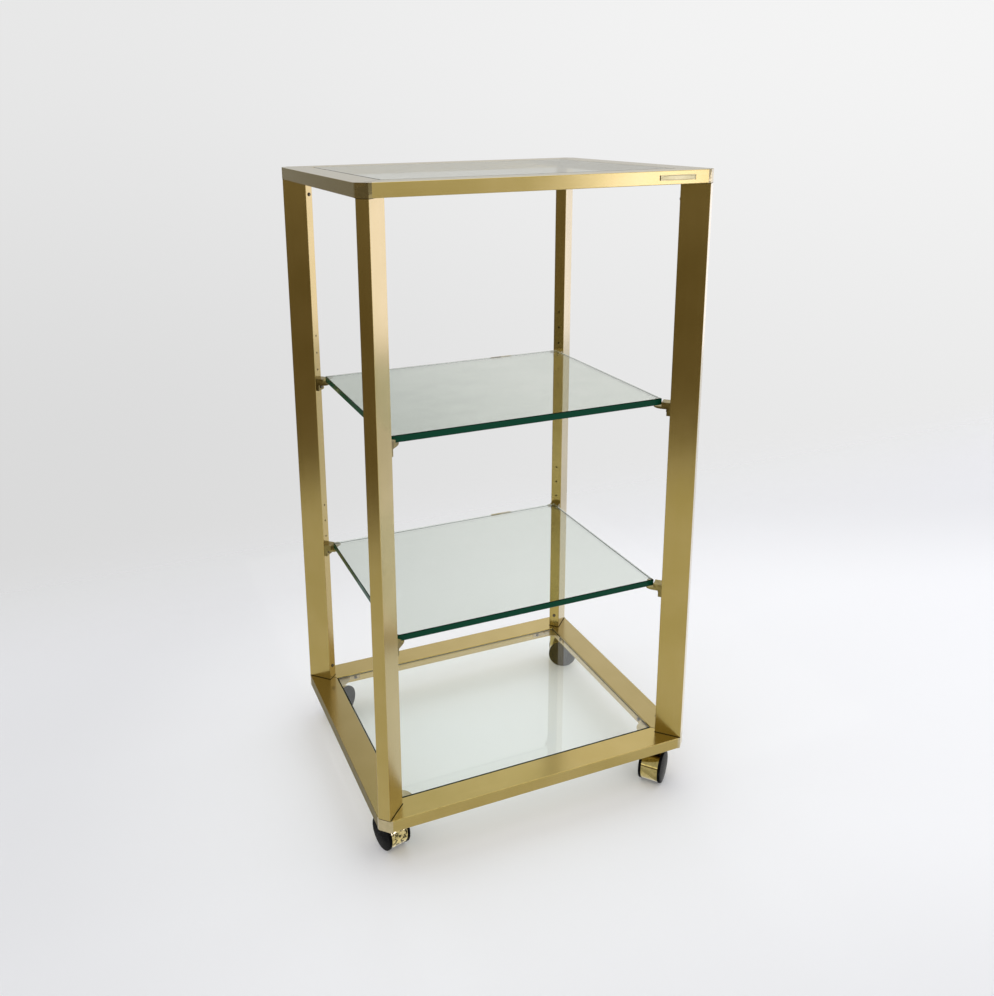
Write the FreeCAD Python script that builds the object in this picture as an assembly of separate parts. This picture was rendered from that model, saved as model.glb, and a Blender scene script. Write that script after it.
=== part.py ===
import FreeCAD, Part
import math
import os
from FreeCAD import Vector

# Etagere on castors: two flat rings of gold-anodised rail, four diagonal posts, glass and four castors.
# All lengths in millimetres, +Z up, front towards -Y, origin on the floor below the centre of the frame.

# Frame
overall_width = 500.0
overall_depth = 410.0
rings_height = 884.0
castor_height = 60.0

# The hollow section that the rails and the posts are cut from
section_wide = 40.0
section_thick = 18.0
section_wall = 1.8
section_radius = 0.8

# Corner connectors
facet_thick = 3.0
cast_clearance = 0.1
leg_length = 45.0
leg_pocket_depth = 8.0
leg_pocket_wall = 3.0
leg_pocket_start = 6.0
leg_pocket_margin = 5.0
spigot_length = 40.0
spigot_pocket_wall = 3.5
spigot_pocket_depth = 30.0

# Screws
screw_head_radius = 2.7
screw_head_height = 1.7
screw_head_chamfer = 0.7
screw_slot = 0.8
screw_slot_depth = 0.85
screw_shank_radius = 1.5
screw_hole_clearance = 0.1
screw_grip = 7.0
rail_screw_inset = 33.0
post_screw_offset = 22.5

# Glass
pane_thick = 5.0
pane_recess = 0.3
pane_gap = 1.0
shelf_thick = 10.0
shelf_gap = 0.5
glass_corner_radius = 2.0
glass_arris = 0.5

# Angle brackets that the inset panes lie on
rest_thick = 1.5
rest_drop = 7.6
rest_length = 41.0
rest_radius = 22.0

# Shelf clips, measured from their screw and from the post's inner edge
hole_pitch = 27.5
holes_per_group = 4
upper_clip_height = 601.9
lower_clip_height = 315.9
clip_wide = 16.0
clip_plate_thick = 5.0
clip_plate_below = 5.5
clip_block_depth = 12.5
clip_block_height = 6.5
clip_reach = 24.0
clip_shelf_height = 7.8
clip_arm_thick = 3.5
clip_arm_straight = 14.0
clip_tip_thick = 1.0
clip_inner_radius = 1.4
clip_tip_radius = 3.0

# Name plate
plate_length = 55.0
plate_height = 7.0
plate_thick = 0.8
plate_inset = 65.5

# Castors
wheel_radius = 25.0
wheel_pair_width = 36.5
tread_width = 5.0
wheel_gap = 0.4
wheel_web = 2.6
wheel_rim = 3.2
wheel_dome = 1.0
wheel_edge_radius = 1.4
hub_radius = 5.6
spoke_count = 6
spoke_thick = 1.6
axle_radius = 3.0
axle_clearance = 0.05
axle_cap = 1.5
trail = 16.0
swivel_inset = 33.0
hood_radius = 24.0
hood_sheet = 1.2
hood_fit = 0.1
hood_floor_gap = 7.0
housing_floor_gap = 5.5
housing_web = 16.0
housing_rim = 4.2
neck_radius = 7.5
boss_height = 1.0
running_gap = 0.3
collar_across = 13.0
collar_thick = 2.5
pin_radius = 3.5
pin_clearance = 0.05
pin_length = 22.0
stem_radius = 4.0
stem_length = 14.5
stem_hole_clearance = 0.05
stem_way_clearance = 0.3

# Corner name: signs of x and y, and the way each castor trails, in degrees from +X
corners = {"fl": (-1, -1), "fr": (1, -1), "rl": (-1, 1), "rr": (1, 1)}
trail_heading = {"fl": 103.0, "fr": 220.5, "rl": 35.0, "rr": 331.0}

# Worked-out places
half_width = overall_width / 2
half_depth = overall_depth / 2
ring_bottoms = {"bottom": castor_height, "top": castor_height + rings_height - section_thick}
post_bottom = castor_height + section_thick
post_length = rings_height - 2 * section_thick
facet_sum = half_width + half_depth - section_thick / math.sqrt(2)
rail_end_sum = facet_sum - facet_thick * math.sqrt(2)
half_difference = (half_width - half_depth) / 2
opening_x = half_width - section_wide
opening_y = half_depth - section_wide
pane_top = section_thick - pane_recess
rest_top = pane_top - pane_thick
rail_screw_height = rest_top - rest_drop / 2
axle_height = wheel_radius
wheel_inner = wheel_pair_width / 2 - tread_width
hood_width = 2 * (wheel_inner - wheel_gap)
neck_top = castor_height - collar_thick - running_gap
axle_half_length = wheel_pair_width / 2 - axle_cap - running_gap
swivel_x = half_width - swivel_inset
swivel_y = half_depth - swivel_inset

X = Vector(1, 0, 0)
Y = Vector(0, 1, 0)
Z = Vector(0, 0, 1)
ORIGIN = Vector(0, 0, 0)


# Basic shapes
def box(x0, x1, y0, y1, z0, z1):
    return Part.makeBox(x1 - x0, y1 - y0, z1 - z0, Vector(x0, y0, z0))


def rod(radius, start, end):
    """A round bar between two points."""
    way = end - start
    return Part.makeCylinder(radius, way.Length, start, way)


def prism(points, z0, z1):
    """A flat outline, given as (x, y) points, raised from z0 to z1."""
    corners_3d = [Vector(x, y, z0) for x, y in points]
    outline = Part.makePolygon(corners_3d + corners_3d[:1])
    return Part.Face(outline).extrude(Vector(0, 0, z1 - z0))


def fillet_along(shape, radius, direction):
    """Rounds the straight edges that run along one direction."""
    chosen = [e for e in shape.Edges
              if isinstance(e.Curve, Part.Line) and abs(e.tangentAt(e.FirstParameter).dot(direction)) > 0.999]
    return shape.makeFillet(radius, chosen)


def hollow_section(length):
    """The common section standing on the XY plane, wide along X."""
    w, t, s = section_wide / 2, section_thick / 2, section_wall
    outside = fillet_along(box(-w, w, -t, t, 0, length), section_radius, Z)
    return outside.cut(box(-w + s, w - s, -t + s, t - s, -1, length + 1))


# Places: corner pieces are built at the rear right corner and mirrored to the others
def to_corner(shape, name):
    sx, sy = corners[name]
    if sx < 0:
        shape = shape.mirror(ORIGIN, X)
    if sy < 0:
        shape = shape.mirror(ORIGIN, Y)
    return shape


def on_diagonal(shape):
    """From the post's own frame (u inwards from the facet, t across, z up) to the rear right corner."""
    placed = shape.copy()
    placed.rotate(ORIGIN, Z, 225)
    placed.translate(Vector(facet_sum / 2 + half_difference, facet_sum / 2 - half_difference, 0))
    return placed


def to_castor(shape, name):
    """From the castor's own frame (axle at +X of the swivel axis, floor at 0) to its place."""
    sx, sy = corners[name]
    placed = shape.copy()
    placed.rotate(ORIGIN, Z, trail_heading[name])
    placed.translate(Vector(sx * swivel_x, sy * swivel_y, 0))
    return placed


def screw(grip):
    """A pan-head screw along -Z, the underside of its head at the origin."""
    head = Part.makeCylinder(screw_head_radius, screw_head_height)
    rim = [e for e in head.Edges if e.BoundBox.ZMin > screw_head_height - 0.01]
    head = head.makeChamfer(screw_head_chamfer, rim)
    slot = box(-screw_head_radius, screw_head_radius, -screw_slot / 2, screw_slot / 2,
               screw_head_height - screw_slot_depth, screw_head_height + 1)
    return head.cut(slot).fuse(rod(screw_shank_radius, Vector(0, 0, -grip), Vector(0, 0, 0.01)))


def screw_hole(start, end):
    return rod(screw_shank_radius + screw_hole_clearance, start, end)


# Rings
def facet_points(plan_sum, x, y):
    """Where a cut at 45 degrees across the corner, x + y = plan_sum, meets the lines at x and at y."""
    return (x, plan_sum - x), (plan_sum - y, y)


def rail_cutters():
    """What the corner pieces take out of the rails of a ring with its underside at z = 0, posts above."""
    u0, u1 = section_wall, section_wide - section_wall
    t = section_thick / 2 - section_wall
    spigot_way = box(u0, u1, -t, t, section_thick - section_wall - 1, section_thick + 1)
    return on_diagonal(spigot_way)


def stem_way():
    hole = stem_radius + stem_hole_clearance + stem_way_clearance
    return rod(hole, Vector(swivel_x, swivel_y, -1), Vector(swivel_x, swivel_y, section_thick / 2))


def flip_ring(shape):
    """Turns a corner piece of the bottom ring upside down for the top ring."""
    return shape.mirror(Vector(0, 0, section_thick / 2), Z)


def ring_rail(along_x, level):
    """The rear rail, or the right rail, of a ring with its underside at z = 0."""
    reach = half_width if along_x else half_depth
    tube = hollow_section(2 * reach)
    tube.translate(Vector(0, 0, -reach))
    tube.rotate(ORIGIN, Z, 90)
    tube.rotate(ORIGIN, Y, 90)
    if not along_x:
        tube.rotate(ORIGIN, Z, -90)
    (_, side_y), (side_x, _) = facet_points(rail_end_sum, half_width, half_depth)
    mid_x, mid_y = rail_end_sum / 2 + half_difference, rail_end_sum / 2 - half_difference
    if along_x:
        tube.translate(Vector(0, half_depth - section_wide / 2, section_thick / 2))
        half = [(opening_x, opening_y), (mid_x, mid_y), (side_x, half_depth)]
        plan = half + [(-x, y) for x, y in reversed(half)]
        hole_at = Vector(opening_x - rail_screw_inset, opening_y, rail_screw_height)
        hole_way = Y
        mirror_normal = X
    else:
        tube.translate(Vector(half_width - section_wide / 2, 0, section_thick / 2))
        half = [(opening_x, opening_y), (mid_x, mid_y), (half_width, side_y)]
        plan = half + [(x, -y) for x, y in reversed(half)]
        hole_at = Vector(opening_x, opening_y - rail_screw_inset, rail_screw_height)
        hole_way = X
        mirror_normal = Y
    rail = tube.common(prism(plan, -1, section_thick + 1))
    cutters = [rail_cutters() if level == "bottom" else flip_ring(rail_cutters())]
    cutters.append(screw_hole(hole_at - hole_way, hole_at + hole_way * (section_wall + 1)))
    if level == "bottom":
        cutters.append(stem_way())
    for cutter in list(cutters):
        cutters.append(cutter.mirror(ORIGIN, mirror_normal))
    return rail.cut(Part.Compound(cutters))


def corner_connector(level):
    """Cast piece at the rear right corner: facet, legs into both rails and spigot into the post."""
    c = section_wall + cast_clearance
    x_in, x_out = opening_x + c, half_width - c
    y_in, y_out = opening_y + c, half_depth - c
    x_end, y_end = opening_x - leg_length, opening_y - leg_length
    cut_x, cut_y = facet_points(rail_end_sum, x_out, y_out)
    plan = [(x_end, y_in), (x_in, y_in), (x_in, y_end), (x_out, y_end), cut_x, cut_y, (x_end, y_out)]
    body = prism(plan, c, section_thick - c)
    outer = facet_points(facet_sum, half_width, half_depth)
    inner = facet_points(rail_end_sum, half_width, half_depth)
    body = body.fuse(prism([outer[0], outer[1], inner[1], inner[0]], 0, section_thick))
    t = section_thick / 2 - c
    spigot = box(c, section_wide - c, -t, t, section_thick / 2, section_thick + spigot_length)
    body = body.fuse(on_diagonal(spigot))
    w = spigot_pocket_wall
    top = section_thick + spigot_length
    hollow = box(c + w, section_wide - c - w, -t + w, t - w, top - spigot_pocket_depth, top + 1)
    pocket_z = section_thick - c - leg_pocket_depth
    p = leg_pocket_wall
    near, far = leg_pocket_start, rail_screw_inset - leg_pocket_margin
    leg_pockets = [box(opening_x - far, opening_x - near, y_in + p, y_out - p, pocket_z, section_thick),
                   box(x_in + p, x_out - p, opening_y - far, opening_y - near, pocket_z, section_thick)]
    seat = section_wide - section_wall
    screw_z = section_thick + post_screw_offset
    post_hole = screw_hole(Vector(seat - screw_grip, 0, screw_z), Vector(section_wide, 0, screw_z))
    body = body.cut(Part.Compound([on_diagonal(hollow), on_diagonal(post_hole)] + leg_pockets))
    if level == "top":
        body = flip_ring(body)
    x_hole, y_hole, z = opening_x - rail_screw_inset, opening_y - rail_screw_inset, rail_screw_height
    holes = [screw_hole(Vector(x_hole, opening_y, z), Vector(x_hole, opening_y + screw_grip + 2, z)),
             screw_hole(Vector(opening_x, y_hole, z), Vector(opening_x + screw_grip + 2, y_hole, z))]
    if level == "bottom":
        bore = stem_radius + stem_hole_clearance
        holes.append(rod(bore, Vector(swivel_x, swivel_y, -1), Vector(swivel_x, swivel_y, stem_length + 0.5)))
    return body.cut(Part.Compound(holes))


def rail_screw_pair():
    """The two screws of the rear right corner, in through the bracket and the rails' inner walls."""
    one = screw(rest_thick + screw_grip)
    one.rotate(ORIGIN, X, 90)
    one.translate(Vector(opening_x - rail_screw_inset, opening_y - rest_thick, rail_screw_height))
    other = screw(rest_thick + screw_grip)
    other.rotate(ORIGIN, Y, -90)
    other.translate(Vector(opening_x - rest_thick, opening_y - rail_screw_inset, rail_screw_height))
    return [one, other]


def pane_rest():
    """Angle bracket in the rear right inner corner, with a quarter-round shelf under the pane."""
    x, y = opening_x, opening_y
    low = rest_top - rest_drop
    flanges = box(x - rest_length, x, y - rest_thick, y, low, rest_top)
    flanges = flanges.fuse(box(x - rest_thick, x, y - rest_length, y, low, rest_top))
    quarter = Part.makeCylinder(rest_radius, rest_thick, Vector(x, y, rest_top - rest_thick), Z, 90)
    quarter.rotate(Vector(x, y, 0), Z, 180)
    bracket = flanges.fuse(quarter).removeSplitter()
    z = rail_screw_height
    holes = [screw_hole(Vector(x - rail_screw_inset, y - 3, z), Vector(x - rail_screw_inset, y + 1, z)),
             screw_hole(Vector(x - 3, y - rail_screw_inset, z), Vector(x + 1, y - rail_screw_inset, z))]
    return bracket.cut(Part.Compound(holes))


# Posts and what they carry
def hole_heights():
    rows = range(holes_per_group)
    return [low + row * hole_pitch for low in (lower_clip_height, upper_clip_height) for row in rows]


def post():
    """A post at the rear right corner, its narrow outer face flush with the corner facets."""
    tube = hollow_section(post_length)
    tube.translate(Vector(section_wide / 2, 0, post_bottom))
    ends = [post_bottom + post_screw_offset, post_bottom + post_length - post_screw_offset]
    holes = [screw_hole(Vector(section_wide - section_wall - 1, 0, z), Vector(section_wide + 1, 0, z))
             for z in hole_heights() + ends]
    return on_diagonal(tube.cut(Part.Compound(holes)))


def inner_face_screw(height, stand_off, grip):
    one = screw(grip)
    one.rotate(ORIGIN, Y, 90)
    one.translate(Vector(section_wide + stand_off, 0, height))
    return on_diagonal(one)


def shelf_clip(height):
    """Bracket on the post's inner edge: screwed plate, block behind the glass corner and arm below it."""
    sole, heel = clip_shelf_height, clip_shelf_height - clip_arm_thick
    tip = sole - clip_tip_thick
    rise = tip - heel
    run = clip_reach - clip_arm_straight
    bow = (run ** 2 + rise ** 2) / (2 * rise)
    half_angle = math.asin(run / bow) / 2
    top = sole + clip_block_height

    def at(u, z):
        return Vector(section_wide + u, 0, height + z)

    r = clip_inner_radius
    bend = Part.Arc(at(clip_plate_thick, heel - r),
                    at(clip_plate_thick + r * (1 - math.sqrt(0.5)), heel - r * (1 - math.sqrt(0.5))),
                    at(clip_plate_thick + r, heel))
    belly = Part.Arc(at(clip_arm_straight, heel),
                     at(clip_arm_straight + bow * math.sin(half_angle), heel + bow * (1 - math.cos(half_angle))),
                     at(clip_reach, tip))
    edges = [Part.makePolygon([at(0, top), at(0, -clip_plate_below), at(clip_plate_thick, -clip_plate_below),
                               at(clip_plate_thick, heel - r)]),
             bend.toShape(),
             Part.makePolygon([at(clip_plate_thick + r, heel), at(clip_arm_straight, heel)]),
             belly.toShape(),
             Part.makePolygon([at(clip_reach, tip), at(clip_reach, sole), at(clip_block_depth, sole),
                               at(clip_block_depth, top), at(0, top)])]
    outline = Part.Wire([e for piece in edges for e in piece.Edges])
    solid = Part.Face(outline).extrude(Vector(0, clip_wide, 0))
    solid.translate(Vector(0, -clip_wide / 2, 0))
    plan = box(section_wide, section_wide + clip_reach, -clip_wide / 2, clip_wide / 2,
               height - clip_plate_below - 1, height + top + 1)
    tip_edges = [e for e in plan.Edges if e.BoundBox.XMin > section_wide + clip_reach - 0.01
                 and e.BoundBox.YLength < 0.01]
    solid = solid.common(plan.makeFillet(clip_tip_radius, tip_edges))
    hole = screw_hole(Vector(section_wide - 1, 0, height), Vector(section_wide + clip_plate_thick + 1, 0, height))
    return on_diagonal(solid.cut(hole))


# Glass
def glass_sheet(half_x, half_y, underside, thick):
    sheet = fillet_along(box(-half_x, half_x, -half_y, half_y, underside, underside + thick), glass_corner_radius, Z)
    rims = [e for face in sheet.Faces if face.BoundBox.ZLength < 0.01 for e in face.Edges]
    return sheet.makeChamfer(glass_arris, rims)


def pane(level):
    return glass_sheet(opening_x - pane_gap, opening_y - pane_gap, ring_bottoms[level] + rest_top, pane_thick)


def shelf(clip_height):
    """A loose shelf that fills the space between the four clips' blocks, corner to corner."""
    corner_sum = facet_sum - (section_wide + clip_block_depth + shelf_gap) * math.sqrt(2)
    half_x = corner_sum / 2 + half_difference
    half_y = corner_sum / 2 - half_difference
    return glass_sheet(half_x, half_y, clip_height + clip_shelf_height, shelf_thick)


def name_plate():
    across, middle = half_width - plate_inset, ring_bottoms["top"] + section_thick / 2
    return box(across - plate_length / 2, across + plate_length / 2,
               -half_depth - plate_thick, -half_depth, middle - plate_height / 2, middle + plate_height / 2)


# Castors, in their own frame
def drum(radius, width):
    start = Vector(trail, -width / 2, axle_height)
    return rod(radius, start, start + Y * width)


def neck(radius):
    return rod(radius, Vector(0, 0, axle_height), Vector(0, 0, neck_top))


def below(height):
    reach = trail + 2 * wheel_radius
    return box(-reach, reach, -reach, reach, -1, height)


def castor_hood():
    """Sheet hood round the housing: a drum with a collar up to the stem."""
    outside = drum(hood_radius, hood_width).fuse(neck(neck_radius)).cut(below(hood_floor_gap))
    room = drum(hood_radius - hood_sheet, hood_width + 2)
    room = room.fuse(rod(neck_radius - hood_sheet, Vector(0, 0, axle_height), Vector(0, 0, neck_top + 1)))
    return outside.cut(room)


def castor_housing():
    """Moulded core: rim under the hood, web with the axle boss, and the socket of the stem."""
    fit = hood_sheet + hood_fit
    rim_radius = hood_radius - fit
    core = drum(rim_radius, hood_width).fuse(neck(neck_radius - fit)).cut(below(housing_floor_gap))
    pocket_radius = rim_radius - housing_rim
    side = (hood_width - housing_web) / 2
    for way in (-1, 1):
        start = Vector(trail, way * housing_web / 2, axle_height)
        pocket = rod(pocket_radius, start, start + Y * way * (side + 1))
        boss = rod(hub_radius, start - Y * way, start + Y * way * boss_height)
        core = core.cut(pocket).fuse(boss)
    axle_bore = drum(axle_radius + axle_clearance, hood_width + 2)
    pin_bottom = castor_height - collar_thick - pin_length - running_gap
    socket = rod(pin_radius + pin_clearance, Vector(0, 0, pin_bottom), Vector(0, 0, neck_top + 1))
    return core.cut(axle_bore).cut(socket)


def castor_axle():
    return drum(axle_radius, 2 * axle_half_length)


def castor_wheel(way):
    """Moulded disc wheel on one side: tread, domed face, hub and spokes on its hidden side."""
    face = wheel_pair_width / 2
    shoulder = face - wheel_dome
    web = face - wheel_web
    hub_face = housing_web / 2 + boss_height + running_gap
    bore = axle_radius + axle_clearance
    rim = wheel_radius - wheel_rim
    edge = wheel_edge_radius
    dome_mid = (wheel_radius - edge) / 2

    def at(r, s):
        return Vector(trail, way * s, axle_height + r)

    dome = Part.Arc(at(0, face), at(dome_mid, face - wheel_dome / 4), at(wheel_radius - edge, shoulder))
    lip = Part.Arc(at(wheel_radius - edge, shoulder),
                   at(wheel_radius - edge * (1 - math.sqrt(0.5)), shoulder - edge * (1 - math.sqrt(0.5))),
                   at(wheel_radius, shoulder - edge))
    back = Part.makePolygon([at(wheel_radius, shoulder - edge), at(wheel_radius, wheel_inner),
                             at(rim, wheel_inner), at(rim, web), at(hub_radius, web),
                             at(hub_radius, hub_face), at(bore, hub_face), at(bore, face - axle_cap),
                             at(0, face - axle_cap), at(0, face)])
    outline = Part.Wire([dome.toShape(), lip.toShape()] + back.Edges)
    wheel = Part.Face(outline).revolve(Vector(trail, 0, axle_height), Y, 360)
    for number in range(spoke_count):
        s0, s1 = sorted((way * (wheel_inner + 0.5), way * (web + 0.5)))
        spoke = box(trail - spoke_thick / 2, trail + spoke_thick / 2, s0, s1,
                    axle_height + hub_radius - 0.5, axle_height + rim + 0.5)
        spoke.rotate(Vector(trail, 0, axle_height), Y, number * 360 / spoke_count)
        wheel = wheel.fuse(spoke)
    return wheel.removeSplitter()


def castor_stem():
    """Threaded stem with a hexagon collar; its pin turns in the housing's socket."""
    low = castor_height - collar_thick
    corner_radius = collar_across / math.sqrt(3)
    angles = [math.radians(60 * n) for n in range(6)]
    collar = prism([(corner_radius * math.cos(a), corner_radius * math.sin(a)) for a in angles],
                   low, castor_height)
    thread = rod(stem_radius, Vector(0, 0, low), Vector(0, 0, castor_height + stem_length))
    pin = rod(pin_radius, Vector(0, 0, low - pin_length), Vector(0, 0, castor_height))
    return collar.fuse(thread).fuse(pin)


# Assembly
def raised(shape, level):
    moved = shape.copy()
    moved.translate(Vector(0, 0, ring_bottoms[level]))
    return moved


def build():
    nodes = {}
    for level in ring_bottoms:
        rear = raised(ring_rail(True, level), level)
        right = raised(ring_rail(False, level), level)
        nodes[level + "_rail_rear"] = rear
        nodes[level + "_rail_front"] = rear.mirror(ORIGIN, Y)
        nodes[level + "_rail_right"] = right
        nodes[level + "_rail_left"] = right.mirror(ORIGIN, X)
        connector = raised(corner_connector(level), level)
        rest = raised(pane_rest(), level)
        for name in corners:
            nodes[level + "_corner_" + name] = to_corner(connector, name)
        nodes[level + "_pane_rests"] = Part.Compound([to_corner(rest, name) for name in corners])
        nodes[level + "_pane"] = pane(level)

    frame_screws = [to_corner(raised(one, level), name)
                    for level in ring_bottoms for name in corners for one in rail_screw_pair()]
    nodes["frame_screws"] = Part.Compound(frame_screws)

    post_ends = (post_bottom + post_screw_offset, post_bottom + post_length - post_screw_offset)
    post_screws = [to_corner(inner_face_screw(z, 0, screw_grip), name) for name in corners for z in post_ends]
    nodes["post_screws"] = Part.Compound(post_screws)

    clip_screws = []
    for label, height in (("upper", upper_clip_height), ("lower", lower_clip_height)):
        clip = shelf_clip(height)
        fixing = inner_face_screw(height, clip_plate_thick, clip_plate_thick + screw_grip / 2)
        for name in corners:
            nodes[label + "_clip_" + name] = to_corner(clip, name)
            clip_screws.append(to_corner(fixing, name))
        nodes[label + "_shelf"] = shelf(height)
    nodes["clip_screws"] = Part.Compound(clip_screws)

    one_post = post()
    stems = []
    for name in corners:
        nodes["post_" + name] = to_corner(one_post, name)
        castor = "castor_" + name
        nodes[castor + "_hood"] = to_castor(castor_hood(), name)
        nodes[castor + "_housing"] = to_castor(castor_housing(), name)
        nodes[castor + "_axle"] = to_castor(castor_axle(), name)
        nodes[castor + "_wheel_left"] = to_castor(castor_wheel(-1), name)
        nodes[castor + "_wheel_right"] = to_castor(castor_wheel(1), name)
        stems.append(to_castor(castor_stem(), name))
    nodes["castor_stems"] = Part.Compound(stems)
    nodes["name_plate"] = name_plate()
    return nodes


os.makedirs("parts", exist_ok=True)
for node, shape in build().items():
    print(node, len(shape.Solids), round(shape.Volume), shape.isValid())
    shape.exportStep("parts/" + node + ".step")
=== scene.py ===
import bpy
import math
from mathutils import Matrix, Vector


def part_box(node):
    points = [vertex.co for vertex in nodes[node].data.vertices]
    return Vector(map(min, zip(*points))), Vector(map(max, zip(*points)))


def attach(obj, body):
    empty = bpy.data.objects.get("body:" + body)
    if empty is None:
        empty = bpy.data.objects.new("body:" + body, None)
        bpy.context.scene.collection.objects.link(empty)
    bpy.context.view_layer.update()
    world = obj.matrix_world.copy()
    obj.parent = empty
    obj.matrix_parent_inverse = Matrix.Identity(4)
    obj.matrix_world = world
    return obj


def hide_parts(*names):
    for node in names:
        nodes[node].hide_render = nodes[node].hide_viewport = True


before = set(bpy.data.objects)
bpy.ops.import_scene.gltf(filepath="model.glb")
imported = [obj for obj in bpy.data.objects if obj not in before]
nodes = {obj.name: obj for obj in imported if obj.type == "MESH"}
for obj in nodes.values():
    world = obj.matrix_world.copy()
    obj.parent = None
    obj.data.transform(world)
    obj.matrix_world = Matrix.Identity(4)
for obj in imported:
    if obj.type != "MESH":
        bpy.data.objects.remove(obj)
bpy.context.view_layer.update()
scene = bpy.context.scene
scene.view_settings.view_transform = "Standard"
corners = ("fl", "fr", "rl", "rr")
print("frame loaded:", len(nodes), "nodes")


# Camera: angles in degrees
shot = {"place": (-0.56887, -1.27926, 1.02045), "yaw": 21.876, "down": 14.906, "roll": -0.745,
        "lens": 34.823, "sensor": 36.0, "shift": (0.04573, -0.12951), "nearest": 0.02}


def makeCamera():
    data = bpy.data.cameras.new("camera")
    data.sensor_width = shot["sensor"]
    data.lens = shot["lens"]
    data.shift_x, data.shift_y = shot["shift"]
    data.clip_start = shot["nearest"]
    camera = bpy.data.objects.new("camera", data)
    scene.collection.objects.link(camera)
    turn = (Matrix.Rotation(math.radians(-shot["yaw"]), 4, "Z")
            @ Matrix.Rotation(math.radians(90 - shot["down"]), 4, "X")
            @ Matrix.Rotation(math.radians(shot["roll"]), 4, "Z"))
    camera.matrix_world = Matrix.Translation(shot["place"]) @ turn
    scene.camera = camera


makeCamera()
print("camera placed")


class Wire:  # one socket of a node tree, used in plain arithmetic
    def __init__(self, tree, socket=None):
        self.tree = tree
        self.socket = socket

    def node(self, kind, settings=None, inputs=None, out=0):
        made = self.tree.nodes.new(kind)
        for name, value in (settings or {}).items():
            setattr(made, name, value)
        for name, value in (inputs or {}).items():
            if isinstance(value, Wire):
                self.tree.links.new(value.socket, made.inputs[name])
            else:
                made.inputs[name].default_value = value
        return Wire(self.tree, made.outputs[out])

    def maths(self, operation, first, second=0.0):
        return self.node("ShaderNodeMath", {"operation": operation}, {0: first, 1: second})

    def __add__(self, other):
        return self.maths("ADD", self, other)

    def __sub__(self, other):
        return self.maths("SUBTRACT", self, other)

    def __mul__(self, other):
        return self.maths("MULTIPLY", self, other)

    def __rsub__(self, other):
        return self.maths("SUBTRACT", other, self)

    __radd__ = __add__
    __rmul__ = __mul__

    def larger(self, other):
        return self.maths("MAXIMUM", self, other)

    def smaller(self, other):
        return self.maths("MINIMUM", self, other)

    def absolute(self):
        return self.maths("ABSOLUTE", self)

    def ramp(self, low, high, bottom=0.0, top=1.0):  # eased from bottom at low to top at high
        return self.node("ShaderNodeMapRange", {"interpolation_type": "SMOOTHSTEP"},
                         {0: self, 1: low, 2: high, 3: bottom, 4: top})

    def mix(self, first, second):  # colours, by this value
        return self.node("ShaderNodeMix", {"data_type": "RGBA"}, {0: self, 6: first, 7: second}, 2)

    def mixShaders(self, first, second):  # shaders, by this value
        return self.node("ShaderNodeMixShader", None, {0: self, 1: first, 2: second})

    def axes(self):
        return [self.node("ShaderNodeSeparateXYZ", None, {0: self}, axis) for axis in range(3)]

    def stretched(self, scale):
        return self.node("ShaderNodeMapping", None, {"Vector": self, "Scale": scale})

    def noise(self, scale, detail, roughness):
        return self.node("ShaderNodeTexNoise", None,
                         {"Vector": self, "Scale": scale, "Detail": detail, "Roughness": roughness})

    def bump(self, strength, distance):
        return self.node("ShaderNodeBump", None, {"Strength": strength, "Distance": distance, "Height": self})


def rgb(red, green, blue):
    return (red, green, blue, 1.0)


def grey(level):
    return rgb(level, level, level)


def newMaterial(name, constants):  # a Principled shader with its plain values set on its own sockets
    material = bpy.data.materials.new(name)
    material.use_nodes = True
    tree = material.node_tree
    shader = tree.nodes["Principled BSDF"]
    for socket, value in constants.items():
        shader.inputs[socket].default_value = value
    return material, shader, Wire(tree).node("ShaderNodeTexCoord", None, None, "Object")


def join(node, links):
    for socket, wire in links.items():
        wire.tree.links.new(wire.socket, node.inputs[socket])


# Paper floor: it fades out at its edges, and each pair of numbers is where a tone starts and is full. Its tones are
# painted light: lighter to the right, painted shade at the far right and front right, and lighter with a painted
# glow near the object, which lifts the object's shadow
paper = {"size": 8.0, "roughness": 0.6, "gloss": 0.15,
         "left": -1.34, "right": 3.0, "front": -2.6, "back": 0.8, "fade": 0.35,
         "slantFrom": -0.5, "slantBy": 0.6, "slantFade": 0.2,
         "leftShadedTone": rgb(0.79, 0.79, 0.795), "rightLitTone": rgb(0.95, 0.95, 0.955),
         "across": (-1.1, 0.7), "acrossTurn": 0.8, "depthTurn": 0.4,
         "farTone": rgb(0.82, 0.82, 0.825), "farDepth": (0.5, 1.1), "farAcross": (-0.2, 0.6),
         "frontTone": rgb(0.87, 0.87, 0.875), "frontDepth": (-0.2, -0.6), "frontAcross": (-0.6, 0.0),
         "middleLitTone": rgb(0.90, 0.90, 0.905), "middleReach": (0.75, 0.15), "middlePaintedGlow": grey(0.05)}


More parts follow.
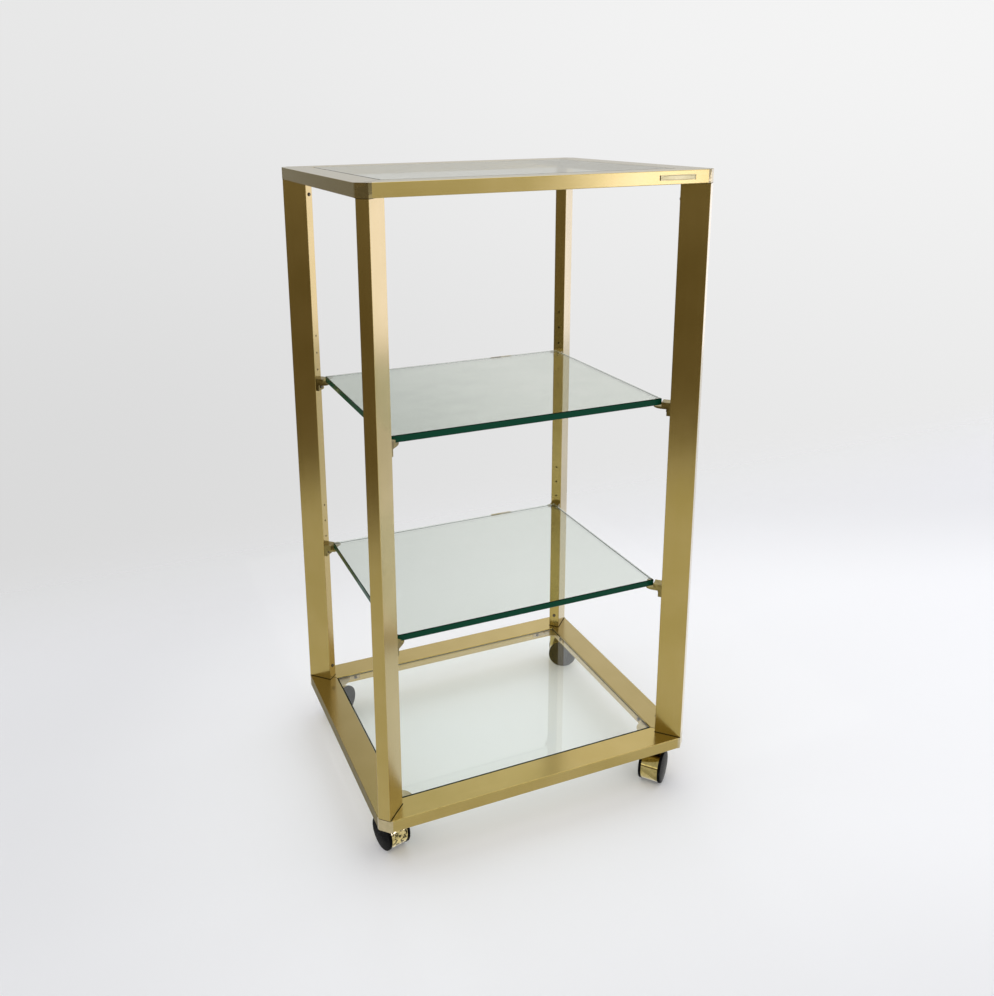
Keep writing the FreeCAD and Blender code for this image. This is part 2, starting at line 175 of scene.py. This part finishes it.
def makePaper():
    bpy.ops.object.select_all(action="DESELECT")
    bpy.ops.mesh.primitive_plane_add(size=paper["size"], location=(0, 0, 0))
    floor = bpy.context.object
    floor.name = "studioFloor"
    material, shader, place = newMaterial("whitePaper", {"Roughness": paper["roughness"],
                                                         "Specular IOR Level": paper["gloss"],
                                                         "Emission Strength": 1.0})
    x, y, _ = place.axes()
    fade, slantFade = paper["fade"], paper["slantFade"]
    slanted = x + (y.smaller(paper["slantFrom"]) - paper["slantFrom"]) * paper["slantBy"]
    cover = (slanted.ramp(paper["left"] - slantFade, paper["left"] + slantFade)
             * x.ramp(paper["right"] + fade, paper["right"] - fade)
             * y.ramp(paper["front"] - fade, paper["front"] + fade)
             * y.ramp(paper["back"] + fade, paper["back"] - fade))
    # painted light: the paper is painted lighter towards the right and darker to the left
    paintedLightTone = (x - y * paper["acrossTurn"]).ramp(*paper["across"]).mix(paper["leftShadedTone"], paper["rightLitTone"])
    depth = y + x * paper["depthTurn"]
    # painted shade: darker at the far right (farTone) and at the front right (frontTone)
    for part in ("far", "front"):
        share = depth.ramp(*paper[part + "Depth"]) * x.ramp(*paper[part + "Across"])
        paintedLightTone = share.mix(paintedLightTone, paper[part + "Tone"])
    distance = place.node("ShaderNodeVectorMath", {"operation": "LENGTH"}, {0: place}, "Value")
    # painted light: lighter near the object, with a painted glow, so the object's shadow there is lifted
    shadowLift = distance.ramp(*paper["middleReach"])
    join(shader, {"Base Color": shadowLift.mix(paintedLightTone, paper["middleLitTone"]), "Alpha": cover,
                  "Emission Color": shadowLift.mix(grey(0), paper["middlePaintedGlow"])})
    floor.data.materials.append(material)


# Backdrop: greys at its left and right, spread over the directions across and upwards
backdrop = {"low": (0.70, 0.82), "high": (0.80, 0.915), "across": (-0.15, 0.85), "rise": (-0.36, 0.12),
            "ceiling": (0.70, 1.14), "ceilingAcross": (0.12, 0.42), "ceilingRise": (0.18, 0.45),
            "ambient": rgb(0.86, 0.86, 0.87)}


def makeBackdrop():
    world = bpy.data.worlds.new("studio")
    scene.world = world
    world.use_nodes = True
    start = Wire(world.node_tree)
    x, _, z = start.node("ShaderNodeTexCoord").axes()
    across = x.ramp(*backdrop["across"])
    low, high = [across.mix(grey(left), grey(right)) for left, right in (backdrop["low"], backdrop["high"])]
    wall = z.ramp(*backdrop["rise"]).mix(low, high)
    ceiling = x.ramp(*backdrop["ceilingAcross"]).mix(*[grey(level) for level in backdrop["ceiling"]])
    picture = z.ramp(*backdrop["ceilingRise"]).mix(wall, ceiling)
    camera, glossy, through = [start.node("ShaderNodeLightPath", None, None, kind)
                               for kind in ("Is Camera Ray", "Is Glossy Ray", "Is Transmission Ray")]
    seen = camera.larger(glossy).larger(through)  # all other light is the even ambient tone
    background = world.node_tree.nodes["Background"]
    background.inputs["Strength"].default_value = 1.0
    join(background, {"Color": seen.mix(backdrop["ambient"], picture)})


# Room: glowing cards that only reflections see, with their turn in degrees
# unshadedFloorReflection is a painted reflection: a glowing card under and behind the object that shows the metal a
# lit floor where the object's shadow lies
roomCards = {"unshadedFloorReflection": {"place": (0.2, 0.325, 0.002), "size": (0.9, 1.05), "turn": (0, 0, 0),
                             "glow": rgb(0.95, 0.94, 0.91)},
             "darkBoards": {"place": (-8.2, -4.5, -0.003), "size": (18.4, 20.0), "turn": (0, 0, 0),
                            "glow": rgb(0.195, 0.155, 0.10)},
             "darkWall": {"place": (-11.0, -4.5, 0.85), "size": (20.0, 1.9), "turn": (90, 0, 90),
                          "glow": rgb(0.25, 0.21, 0.16)},
             "leftWindow": {"place": (-11.0, -4.5, 2.7), "size": (20.0, 1.8), "turn": (90, 0, 90),
                            "glow": rgb(1.6, 1.55, 1.4)},
             "rightWall": {"place": (2.7, 0.3, 0.45), "size": (2.2, 0.9), "turn": (90, 0, 90),
                           "glow": rgb(1.8, 1.78, 2.2)},
             "rightWallRear": {"place": (2.55, 2.3, 0.45), "size": (1.8, 0.9), "turn": (90, 0, 90),
                               "glow": rgb(1.25, 1.2, 1.15)},
             "frontWindow": {"place": (2.42, -3.52, 0.9), "size": (0.68, 1.6), "turn": (90, 0, 30),
                             "glow": rgb(3.5, 3.65, 6.0)},
             "greyWall": {"place": (-4.0, 5.5, 0.8), "size": (6.4, 2.0), "turn": (90, 0, 0),
                          "glow": rgb(0.24, 0.22, 0.16)},
             "greyBack": {"place": (2.4, 6.0, 1.5), "size": (6.6, 1.5), "turn": (90, 0, 0),
                          "glow": rgb(0.58, 0.57, 0.53)}}


def makeCard(name, card):
    bpy.ops.object.select_all(action="DESELECT")
    bpy.ops.mesh.primitive_plane_add(size=1.0, location=card["place"],
                                     rotation=[math.radians(angle) for angle in card["turn"]])
    sheet = bpy.context.object
    sheet.name = name
    sheet.scale = (*card["size"], 1.0)
    material = newMaterial(name, {"Base Color": grey(0), "Specular IOR Level": 0.0,
                                  "Emission Color": card["glow"], "Emission Strength": 1.0})[0]
    sheet.data.materials.append(material)
    sheet.visible_camera = sheet.visible_diffuse = sheet.visible_transmission = sheet.visible_shadow = False


# Lamp: glow is the brightness of its face
lamp = {"place": (0.5, 0.4, 3.0), "aim": (0, 0, 0), "size": (3.0, 3.0), "glow": 0.6, "tint": (0.96, 1.0, 1.12)}


def makeLamp():
    data = bpy.data.lights.new("overhead", "AREA")
    data.shape = "RECTANGLE"
    data.color = lamp["tint"]
    data.size, data.size_y = lamp["size"]
    data.energy = lamp["glow"] * math.pi * data.size * data.size_y
    light = bpy.data.objects.new("overhead", data)
    scene.collection.objects.link(light)
    aim = Vector(lamp["aim"]) - Vector(lamp["place"])
    light.matrix_world = Matrix.Translation(lamp["place"]) @ aim.to_track_quat("-Z", "Y").to_matrix().to_4x4()


makePaper()
makeBackdrop()
for cardName, cardValues in roomCards.items():
    makeCard(cardName, cardValues)
makeLamp()
print("studio set")


# Gold-anodised section: a satin metal drawn along its length, under a clear skin, with painted shadow lines at its
# joints and painted shade low on the outer sides of the bottom side rails
gold = {"bright": (0.435, 0.315, 0.07), "deep": (0.385, 0.274, 0.04), "sideRailShade": 0.78, "contrast": (0.3, 0.7),
        "lineFine": 900.0, "lineLong": 3.0, "lineNoise": (1.0, 3.0, 0.6), "lineShare": 0.35,
        "cloudNoise": (14.0, 3.0, 0.55), "cloudShare": 0.65,
        "roughness": 0.20, "roughSpread": 0.05, "roughShaded": 0.4, "bump": 0.06, "bumpDepth": 0.0002,
        "skinRoughness": 0.2, "skinIor": 1.6,
        "jointShadow": rgb(0.07, 0.05, 0.02), "mitreHalf": 0.0004, "footHalf": 0.0008, "jointSoft": 0.0004,
        "lowSideShade": rgb(0.165, 0.13, 0.045), "lowSideShadeTop": 0.1, "lowSideShadeFade": 0.01, "lowSideShadeDepth": (0.0006, 0.0002),
        "lowSideShadeCover": 0.8}
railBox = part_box("bottom_rail_front")
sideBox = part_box("bottom_rail_left")
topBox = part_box("top_rail_front")
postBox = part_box("post_fl")
ringSide = -sideBox[0][0]
halfDifference = railBox[0][1] - sideBox[0][0]  # half the width less half the depth
postHalf = (railBox[1][2] - railBox[0][2]) / 2
footSum = postHalf * math.sqrt(2) - postBox[1][0] - postBox[1][1]  # |x| + |y| at a post's inner edge


def brushedGold(name, along, paintedLightTone=1.0):  # along: the axis that the brushing follows
    material, shader, place = newMaterial(name, {"Coat Roughness": gold["skinRoughness"],
                                                 "Coat IOR": gold["skinIor"]})
    scale = [gold["lineFine"]] * 3
    scale[along] = gold["lineLong"]
    lines = place.stretched(scale).noise(*gold["lineNoise"])
    cloud = place.noise(*gold["cloudNoise"])
    grain = (lines * gold["lineShare"] + cloud * gold["cloudShare"]).ramp(*gold["contrast"])
    colour = grain.mix(*[rgb(*[part * paintedLightTone for part in gold[kind]]) for kind in ("deep", "bright")])
    x, y, z = place.axes()
    if along == 2:  # a post meets the rings at its ends
        gap = (z - postBox[0][2]).smaller(postBox[1][2] - z) - gold["footHalf"]
    else:  # rails meet at a mitre, with a post's foot across it
        across = (x.absolute() - y.absolute() - halfDifference).absolute() * math.sqrt(0.5)
        inwards = (footSum - x.absolute() - y.absolute()) * math.sqrt(0.5)  # from the post's inner edge
        beyond = (railBox[1][2] - z).larger(z - topBox[0][2]) - gold["footHalf"]  # off the faces that meet posts
        foot = (across - postHalf).absolute().larger(inwards).larger(beyond) - gold["footHalf"]
        gap = foot.smaller(across - gold["mitreHalf"])
    # painted shadow: dark, rougher lines where rails meet at a mitre and where posts meet the rings
    jointShadow = gap.ramp(gold["jointSoft"], 0.0)
    outer = x.absolute().ramp(*[ringSide - depth for depth in gold["lowSideShadeDepth"]])
    low = z.ramp(gold["lowSideShadeTop"], gold["lowSideShadeTop"] - gold["lowSideShadeFade"])
    lowSideShade = outer * low * (1.0 if along == 1 else 0.0)  # painted shade low on the outer sides of the bottom side rails, where the gold is dulled
    shaded = jointShadow.larger(lowSideShade)
    rough = (gold["roughness"] - gold["roughSpread"] + lines * gold["roughSpread"]
             + cloud * gold["roughSpread"] + shaded * gold["roughShaded"])
    join(shader, {"Base Color": lowSideShade.mix(jointShadow.mix(colour, gold["jointShadow"]), gold["lowSideShade"]), "Roughness": rough,
                  "Normal": lines.bump(gold["bump"], gold["bumpDepth"]),
                  "Metallic": 1.0 - lowSideShade * gold["lowSideShadeCover"], "Coat Weight": 1.0 - shaded})
    return material


def dress(names, material):
    for name in names:
        mesh = nodes[name].data
        mesh.materials.clear()
        mesh.materials.append(material)


levels = ("bottom", "top")
dress([level + side for level in levels for side in ("_rail_front", "_rail_rear")], brushedGold("goldAcross", 0))
# painted shade: the left and right rails use a darker copy of the same gold
dress([level + side for level in levels for side in ("_rail_left", "_rail_right")],
      brushedGold("goldShadedSides", 1, gold["sideRailShade"]))
dress(["post_" + name for name in corners], brushedGold("goldUpright", 2))


# Other metals: clouded between bright and deep, some with spots of tarnish
metal = {"contrast": (0.35, 0.65), "cloudNoise": (4.0, 0.6), "cloudShare": 0.7,
         "fineTimes": 9, "fineNoise": (2.0, 0.5), "fineShare": 0.3, "bump": 0.05, "bumpDepth": 0.0003,
         "spotTimes": 2.2, "spotNoise": (3.0, 0.65), "spotEdge": (0.50, 0.58), "spotRoughness": 0.25}
frameMetals = {
    "castPale": {"on": ["bottom_corner_" + name for name in corners], "scale": 60.0,
                 "bright": rgb(0.54, 0.455, 0.27), "deep": rgb(0.45, 0.375, 0.21),
                 "roughness": 0.18, "spread": 0.08},
    "castGold": {"on": ["top_corner_" + name for name in corners], "scale": 30.0,
                 "bright": rgb(0.42, 0.335, 0.15), "deep": rgb(0.34, 0.27, 0.11),
                 "roughness": 0.16, "spread": 0.08, "spots": rgb(0.05, 0.04, 0.02), "spotShare": 0.5},
    "sheetGold": {"on": [level + "_pane_rests" for level in levels], "scale": 80.0,
                  "bright": rgb(0.44, 0.35, 0.19), "deep": rgb(0.34, 0.26, 0.14),
                  "roughness": 0.3, "spread": 0.1},
    "darkBronze": {"on": [row + "_clip_" + name for row in ("upper", "lower") for name in corners],
                   "scale": 120.0, "bright": rgb(0.30, 0.24, 0.08), "deep": rgb(0.16, 0.12, 0.035),
                   "roughness": 0.24, "spread": 0.15},
    "brownSteel": {"on": ["frame_screws", "post_screws", "clip_screws", "castor_stems"], "scale": 400.0,
                   "bright": rgb(0.16, 0.13, 0.10), "deep": rgb(0.07, 0.06, 0.05),
                   "roughness": 0.35, "spread": 0.15}}


def plainMetal(name, look):
    material, shader, place = newMaterial(name, {"Metallic": 1.0})
    cloud = place.noise(look["scale"], *metal["cloudNoise"])
    fine = place.noise(look["scale"] * metal["fineTimes"], *metal["fineNoise"])
    grain = (cloud * metal["cloudShare"] + fine * metal["fineShare"]).ramp(*metal["contrast"])
    colour = grain.mix(look["deep"], look["bright"])
    rough = look["roughness"] - look["spread"] / 2 + cloud * look["spread"]
    if "spots" in look:
        spots = place.noise(look["scale"] * metal["spotTimes"], *metal["spotNoise"])
        spotMask = spots.ramp(*metal["spotEdge"]) * look["spotShare"]
        colour = spotMask.mix(colour, look["spots"])
        rough = rough + spotMask * metal["spotRoughness"]
    join(shader, {"Base Color": colour, "Roughness": rough,
                  "Normal": fine.bump(metal["bump"], metal["bumpDepth"])})
    return material


for metalName, metalLook in frameMetals.items():
    dress(metalLook["on"], plainMetal(metalName, metalLook))
print("frame dressed")


# Glass: lift keeps each sheet just clear of its rests, and tints run from a painted shade at the left to lighter at
# the right
sheets = {"top_pane": {"name": "topPane", "framed": True, "lift": 0.00028,
                       "shadedTints": (rgb(0.96, 0.98, 0.94), rgb(0.985, 1.0, 0.965))},
          "bottom_pane": {"name": "bottomPane", "framed": True, "lift": 0.0003,
                          "shadedTints": (rgb(0.91, 0.94, 0.905), rgb(0.945, 0.965, 0.935))},
          "upper_shelf": {"name": "upperShelf", "framed": False, "lift": 0.0002,
                          "shadedTints": (rgb(0.46, 0.50, 0.44), rgb(0.69, 0.71, 0.65))},
          "lower_shelf": {"name": "lowerShelf", "framed": False, "lift": 0.0002,
                          "shadedTints": (rgb(0.70, 0.73, 0.68), rgb(0.735, 0.76, 0.71))}}
glass = {"corner": 0.002, "cornerSteps": 5, "arrisWidth": 0.001, "levelWithin": 0.0005, "smoothBelow": 25,
         "ior": 1.5, "edge": rgb(0.004, 0.055, 0.028), "arris": rgb(0.001, 0.010, 0.006),
         "paintedGoldBehind": rgb(0.20, 0.165, 0.08), "rimRoughness": 0.1, "rimGloss": 0.06, "shade": rgb(0.97, 0.98, 0.97),
         "absorbed": rgb(0.35, 0.80, 0.60), "density": 3.0,
         "smearStretch": (5, 9, 5), "smearNoise": (3.0, 4.0, 0.6), "smearTone": (0.7, 0.3), "smearShare": 0.2,
         "smearRoughness": (0.55, 0.8, 0.0, 0.03), "across": (-0.22, 0.1), "leftShadeShare": 0.8,
         "arrisFrom": (0.1, 0.6), "groundFrom": (0.3, 0.4), "rimFrom": (0.97, 0.9)}  # by how level the glass is


def glassMaterial(name, shadedTints, framed):  # clear through its faces, dark green at its edges
    material, shader, place = newMaterial(name + "Glass", {"Transmission Weight": 1.0, "IOR": glass["ior"]})
    tree = material.node_tree
    start = Wire(tree)
    smear = place.stretched(glass["smearStretch"]).noise(*glass["smearNoise"])
    # painted shade: the glass is tinted darker towards the left
    across = place.axes()[0].ramp(*glass["across"])
    tint = smear.ramp(*glass["smearTone"]) * glass["smearShare"] + across * glass["leftShadeShare"]
    join(shader, {"Base Color": tint.mix(*shadedTints), "Roughness": smear.ramp(*glass["smearRoughness"])})
    level = start.node("ShaderNodeNewGeometry", None, None, "True Normal").axes()[2].absolute()
    outside = 1.0 - start.node("ShaderNodeNewGeometry", None, None, "Backfacing")
    # painted reflection: seen from inside, the edges take a gold colour in place of the rail behind them
    rimColour = level.ramp(*glass["arrisFrom"]).mix(outside.mix(glass["paintedGoldBehind"], glass["edge"]), glass["arris"])
    rim = start.node("ShaderNodeBsdfPrincipled", None,
                     {"Base Color": rimColour, "Roughness": glass["rimRoughness"], "IOR": glass["ior"],
                      "Specular IOR Level": glass["rimGloss"]}, "BSDF")
    ground = level.ramp(*glass["groundFrom"])  # the narrow ground arris shows dark from inside as well
    covered = outside.larger(1.0 if framed else ground)  # inside a ring the far edges show a painted gold that stands in for the rail seen through them
    solid = (level.ramp(*glass["rimFrom"]) * covered).mixShaders(Wire(tree, shader.outputs["BSDF"]), rim)
    ray = {kind: start.node("ShaderNodeLightPath", None, None, kind)
           for kind in ("Is Shadow Ray", "Is Diffuse Ray", "Is Glossy Ray", "Is Transmission Ray",
                        "Transparent Depth")}
    entered = ray["Transparent Depth"].larger(outside).smaller(1.0)
    reflected = ray["Is Glossy Ray"] * (1.0 - ray["Is Transmission Ray"]) * entered  # a refracted ray is glossy too
    passing = ray["Is Shadow Ray"].larger(ray["Is Diffuse Ray"]).larger(reflected)  # these go straight through
    surface = passing.mixShaders(solid, start.node("ShaderNodeBsdfTransparent", None, {"Color": glass["shade"]}))
    absorption = start.node("ShaderNodeVolumeAbsorption", None,
                            {"Color": glass["absorbed"], "Density": glass["density"]})
    join(tree.nodes["Material Output"], {"Surface": surface, "Volume": absorption})
    return material


def selectEdges(piece, wanted):  # wanted takes the two ends of an edge
    bpy.ops.object.mode_set(mode="EDIT")
    bpy.ops.mesh.select_mode(type="EDGE")
    bpy.ops.mesh.select_all(action="DESELECT")
    bpy.ops.object.mode_set(mode="OBJECT")
    points = piece.data.vertices
    for edge in piece.data.edges:
        edge.select = wanted(*[points[end].co for end in edge.vertices])
    bpy.ops.object.mode_set(mode="EDIT")


def makeSheet(node, sheet):  # cut glass with round corners and ground arrises
    low, high = [end + Vector((0, 0, sheet["lift"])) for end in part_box(node)]
    bpy.ops.object.select_all(action="DESELECT")
    bpy.ops.mesh.primitive_cube_add(size=1.0, location=(low + high) / 2, scale=high - low)
    piece = bpy.context.object
    piece.name = sheet["name"]
    bpy.ops.object.transform_apply(location=True, rotation=True, scale=True)
    selectEdges(piece, lambda one, other: abs(one[2] - other[2]) > glass["levelWithin"])
    bpy.ops.mesh.bevel(offset=glass["corner"], segments=glass["cornerSteps"])
    bpy.ops.object.mode_set(mode="OBJECT")
    selectEdges(piece, lambda one, other: abs(one[2] - other[2]) < glass["levelWithin"])
    bpy.ops.mesh.bevel(offset=glass["arrisWidth"], segments=1)
    bpy.ops.object.mode_set(mode="OBJECT")
    bpy.ops.object.shade_smooth_by_angle(angle=math.radians(glass["smoothBelow"]))
    piece.data.materials.append(glassMaterial(sheet["name"], sheet["shadedTints"], sheet["framed"]))
    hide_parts(node)
    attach(piece, "frame")


for sheetNode, sheetValues in sheets.items():
    makeSheet(sheetNode, sheetValues)
print("glass made")


# Castors: black wheels and housings under brass hoods, the front left hood painted lighter and with more dark spots
black = {"deep": grey(0.004), "pale": grey(0.010), "contrast": (0.4, 0.75), "noise": (90.0, 4.0, 0.6),
         "ior": 1.5, "gloss": 0.01, "roughness": (0.3, 0.8, 0.16, 0.34)}
darkSpot = rgb(0.035, 0.028, 0.010)
castorMetals = {
    "polishedBrass": {"on": ["castor_" + name + "_hood" for name in corners if name != "fl"], "scale": 140.0,
                      "bright": rgb(0.50, 0.41, 0.17), "deep": rgb(0.36, 0.29, 0.10),
                      "roughness": 0.06, "spread": 0.04, "spots": darkSpot, "spotShare": 0.15},
    # painted light: the front left hood is a lighter copy of the same brass, with more dark spots
    "litSpottedBrass": {"on": ["castor_fl_hood"], "scale": 85.0,
                     "bright": rgb(0.70, 0.58, 0.27), "deep": rgb(0.54, 0.44, 0.17),
                     "roughness": 0.12, "spread": 0.1, "spots": darkSpot, "spotShare": 0.95},
    "brightSteel": {"on": ["castor_" + name + "_axle" for name in corners], "scale": 200.0,
                    "bright": grey(0.6), "deep": grey(0.45), "roughness": 0.25, "spread": 0.1}}


def castorBlack():
    material, shader, place = newMaterial("castorBlack", {"IOR": black["ior"],
                                                          "Specular IOR Level": black["gloss"]})
    cloud = place.noise(*black["noise"])
    join(shader, {"Base Color": cloud.ramp(*black["contrast"]).mix(black["deep"], black["pale"]),
                  "Roughness": cloud.ramp(*black["roughness"])})
    return material


dress(["castor_" + name + part for name in corners for part in ("_wheel_left", "_wheel_right", "_housing")],
      castorBlack())
for metalName, metalLook in castorMetals.items():
    dress(metalLook["on"], plainMetal(metalName, metalLook))
print("castors dressed")


# Name plate: a bare brass strip, crowned along its length, with a groove inside its rim
plate = {"proud": 0.0011, "rim": 0.0006, "groove": 0.0003, "grooveDepth": 0.00012, "crown": 0.0004,
         "edge": 0.00012, "edgeSteps": 2, "edgeAngle": 60, "rounding": 3, "facing": 0.9,
         "brass": {"scale": 45.0, "bright": rgb(0.26, 0.22, 0.09), "deep": rgb(0.21, 0.175, 0.065),
                   "roughness": 0.1, "spread": 0.05}}


def makeNamePlate():
    low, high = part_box("name_plate")
    size = high - low
    front = high[1] - plate["proud"]
    middle = Vector(((low[0] + high[0]) / 2, (front + high[1]) / 2, (low[2] + high[2]) / 2))
    bpy.ops.object.select_all(action="DESELECT")
    bpy.ops.mesh.primitive_cube_add(size=1.0, location=middle, scale=(size[0], plate["proud"], size[2]))
    piece = bpy.context.object
    piece.name = "namePlate"
    bpy.ops.object.transform_apply(location=True, rotation=True, scale=True)
    selectEdges(piece, lambda one, other: abs(one[0] - other[0]) > size[0] / 2)  # the long edges
    bpy.ops.mesh.subdivide(number_cuts=1)
    bpy.ops.object.mode_set(mode="OBJECT")
    selectEdges(piece, lambda one, other: all(abs(end[0] - middle[0]) < size[0] / 4 and end[1] < middle[1]
                                              for end in (one, other)))  # the middle of the front
    bpy.ops.transform.translate(value=(0, -plate["crown"], 0))
    bpy.ops.mesh.select_all(action="DESELECT")
    bpy.ops.object.mode_set(mode="OBJECT")
    for face in piece.data.polygons:
        face.select = face.normal[1] < -plate["facing"]
    bpy.ops.object.mode_set(mode="EDIT")
    bpy.ops.mesh.select_mode(type="FACE")
    bpy.ops.mesh.inset(thickness=plate["rim"])
    bpy.ops.mesh.inset(thickness=plate["groove"], depth=-plate["grooveDepth"])
    bpy.ops.mesh.inset(thickness=plate["groove"])
    bpy.ops.object.mode_set(mode="OBJECT")
    bevel = piece.modifiers.new("edges", "BEVEL")
    bevel.width, bevel.segments = plate["edge"], plate["edgeSteps"]
    bevel.limit_method, bevel.angle_limit = "ANGLE", math.radians(plate["edgeAngle"])
    rounding = piece.modifiers.new("rounding", "SUBSURF")
    rounding.levels = rounding.render_levels = plate["rounding"]
    for name in ("edges", "rounding"):
        bpy.ops.object.modifier_apply(modifier=name)
    bpy.ops.object.shade_smooth()
    piece.data.materials.append(plainMetal("plateBrass", plate["brass"]))
    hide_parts("name_plate")
    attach(piece, "frame")


makeNamePlate()
print("name plate made")
